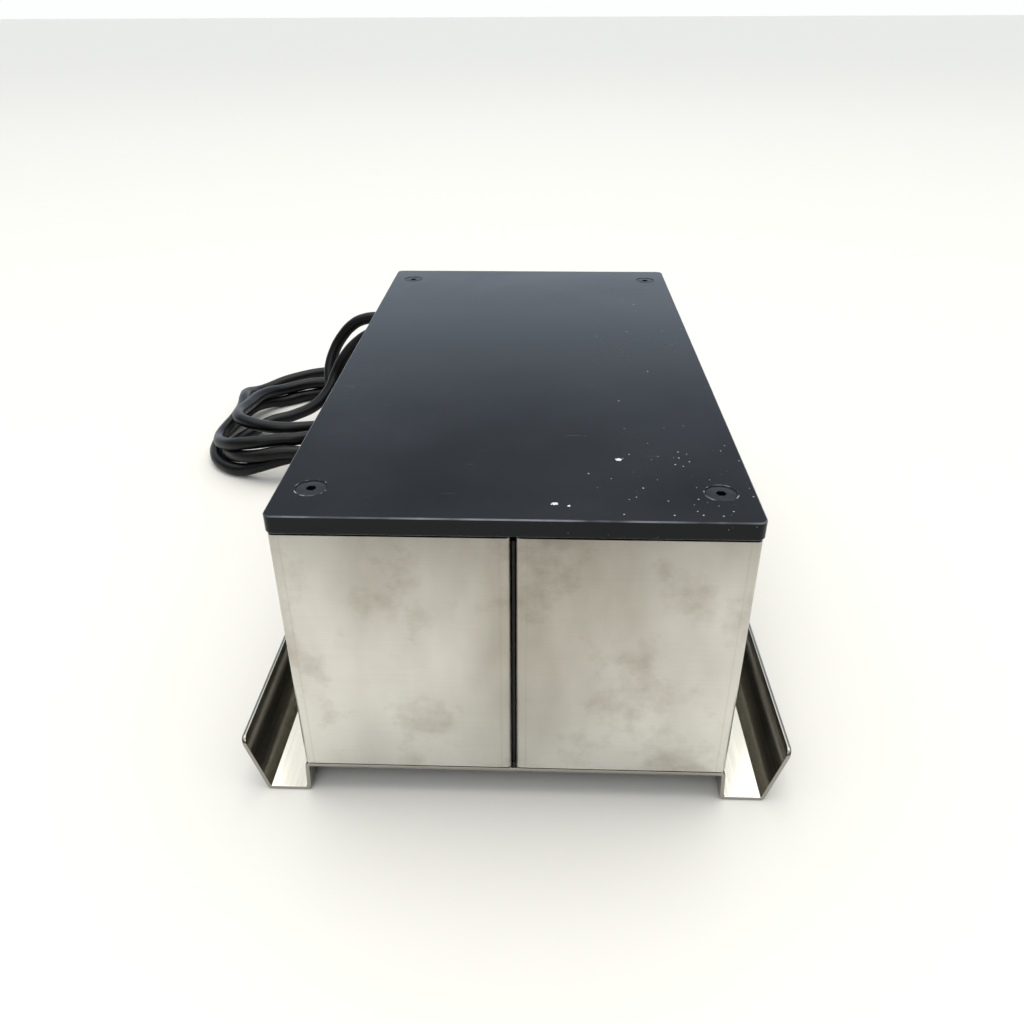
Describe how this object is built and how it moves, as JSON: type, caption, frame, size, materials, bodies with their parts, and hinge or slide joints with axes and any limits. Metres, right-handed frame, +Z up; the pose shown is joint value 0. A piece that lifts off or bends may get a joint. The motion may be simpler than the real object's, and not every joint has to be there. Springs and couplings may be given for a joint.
{
  "type": "vortex mixer",
  "caption": "Low box-shaped orbital vortex mixer: a flat black platform on a folded stainless housing and stand, driven by an eccentric spindle and idlers.",
  "frame": {"origin": "on the standing surface, under the middle of the mixer without its cord", "axes": "+Z up, front at -Y, right at +X seen from the front"},
  "size_m": [0.309, 0.4173, 0.1182],
  "materials": {
    "stainless": "folded stainless sheet, brushed, with faint stains",
    "black_plate": "black anodised plate, satin, worn and scratched",
    "screw_steel": "blackened steel, satin",
    "bare_steel": "ground steel",
    "cast_aluminium": "machined aluminium",
    "motor_enamel": "black enamel",
    "belt_rubber": "matte rubber belt",
    "cord_rubber": "smooth black cord jacket, satin",
    "black_plastic": "moulded, fine texture",
    "circuit_board": "green solder mask",
    "plug_metal": "nickel-plated brass"
  },
  "bodies": {
    "housing": {"base_stand": "stainless", "cover_left": "stainless", "cover_right": "stainless", "front_joiner": "stainless", "front_joiner_screw": "screw_steel", "rear_joiner": "stainless", "rear_joiner_screw": "screw_steel", "drive_bridge": "cast_aluminium", "bridge_screw_1": "screw_steel", "bridge_screw_2": "screw_steel", "bridge_screw_3": "screw_steel", "bridge_screw_4": "screw_steel", "cover_screw_1": "screw_steel", "cover_screw_2": "screw_steel", "cover_screw_3": "screw_steel", "cover_screw_4": "screw_steel", "spindle_housing": "cast_aluminium", "spindle_bearing_lower": "bare_steel", "spindle_bearing_upper": "bare_steel", "motor_body": "motor_enamel", "drive_belt": "belt_rubber", "idler_bearing_1": "bare_steel", "idler_bearing_2": "bare_steel", "idler_bearing_3": "bare_steel", "idler_bearing_4": "bare_steel", "board_bracket": "cast_aluminium", "control_board": "circuit_board", "fuse_holder": "black_plastic", "switch_body": "black_plastic", "speed_pot": "black_plastic", "strain_relief": "cord_rubber", "cord_lead": "cord_rubber", "cord_coil": "cord_rubber", "cord_tail": "cord_rubber", "plug": "black_plastic", "plug_blade_1": "plug_metal", "plug_blade_2": "plug_metal", "plug_earth_pin": "plug_metal"},
    "spindle": {"drive_spindle": "bare_steel", "spindle_pulley": "cast_aluminium", "counterweight": "bare_steel"},
    "platform": {"platform": "black_plate", "hub_cup": "cast_aluminium", "hub_bearing": "bare_steel", "platform_screw_1": "screw_steel", "platform_screw_2": "screw_steel", "platform_screw_3": "screw_steel", "platform_screw_4": "screw_steel", "idler_cup_1": "cast_aluminium", "idler_cup_2": "cast_aluminium", "idler_cup_3": "cast_aluminium", "idler_cup_4": "cast_aluminium"},
    "rotor": {"motor_shaft": "bare_steel", "motor_pulley": "cast_aluminium"},
    "power_rocker": {"power_rocker": "black_plastic"},
    "speed_knob": {"speed_knob": "black_plastic"},
    "idler_1": {"idler_crank_1": "bare_steel"},
    "idler_2": {"idler_crank_2": "bare_steel"},
    "idler_3": {"idler_crank_3": "bare_steel"},
    "idler_4": {"idler_crank_4": "bare_steel"}
  },
  "joints": [
    {"name": "spindle_turn", "type": "hinge", "parent": "housing", "child": "spindle", "pos_m": [0, -0.00758, 0.06], "axis": [0, 0, 1], "continuous": true},
    {"name": "platform_orbit", "type": "hinge", "parent": "spindle", "child": "platform", "pos_m": [0, -0.00607, 0.103], "axis": [0, 0, 1], "continuous": true},
    {"name": "rotor_turn", "type": "hinge", "parent": "housing", "child": "rotor", "pos_m": [0, 0.07043, 0.06], "axis": [0, 0, 1], "continuous": true},
    {"name": "idler_turn_1", "type": "hinge", "parent": "housing", "child": "idler_1", "pos_m": [-0.065, -0.13057, 0.074], "axis": [0, 0, 1], "continuous": true},
    {"name": "idler_turn_2", "type": "hinge", "parent": "housing", "child": "idler_2", "pos_m": [0.065, -0.13057, 0.074], "axis": [0, 0, 1], "continuous": true},
    {"name": "idler_turn_3", "type": "hinge", "parent": "housing", "child": "idler_3", "pos_m": [-0.065, 0.11542, 0.074], "axis": [0, 0, 1], "continuous": true},
    {"name": "idler_turn_4", "type": "hinge", "parent": "housing", "child": "idler_4", "pos_m": [0.065, 0.11542, 0.074], "axis": [0, 0, 1], "continuous": true},
    {"name": "rocker_tilt", "type": "hinge", "parent": "housing", "child": "power_rocker", "pos_m": [0.028, 0.12893, 0.064], "axis": [0, 0, 1], "range_deg": [0, 20]},
    {"name": "knob_turn", "type": "hinge", "parent": "housing", "child": "speed_knob", "pos_m": [0.054, 0.13137, 0.064], "axis": [0, 1, 0], "range_deg": [-300, 0]}
  ],
  "couplings": [
    {"joint": "spindle_turn", "follows": "platform_orbit", "ratio": -1},
    {"joint": "rotor_turn", "follows": "platform_orbit", "ratio": -2},
    {"joint": "idler_turn_1", "follows": "platform_orbit", "ratio": -1},
    {"joint": "idler_turn_2", "follows": "platform_orbit", "ratio": -1},
    {"joint": "idler_turn_3", "follows": "platform_orbit", "ratio": -1},
    {"joint": "idler_turn_4", "follows": "platform_orbit", "ratio": -1}
  ]
}
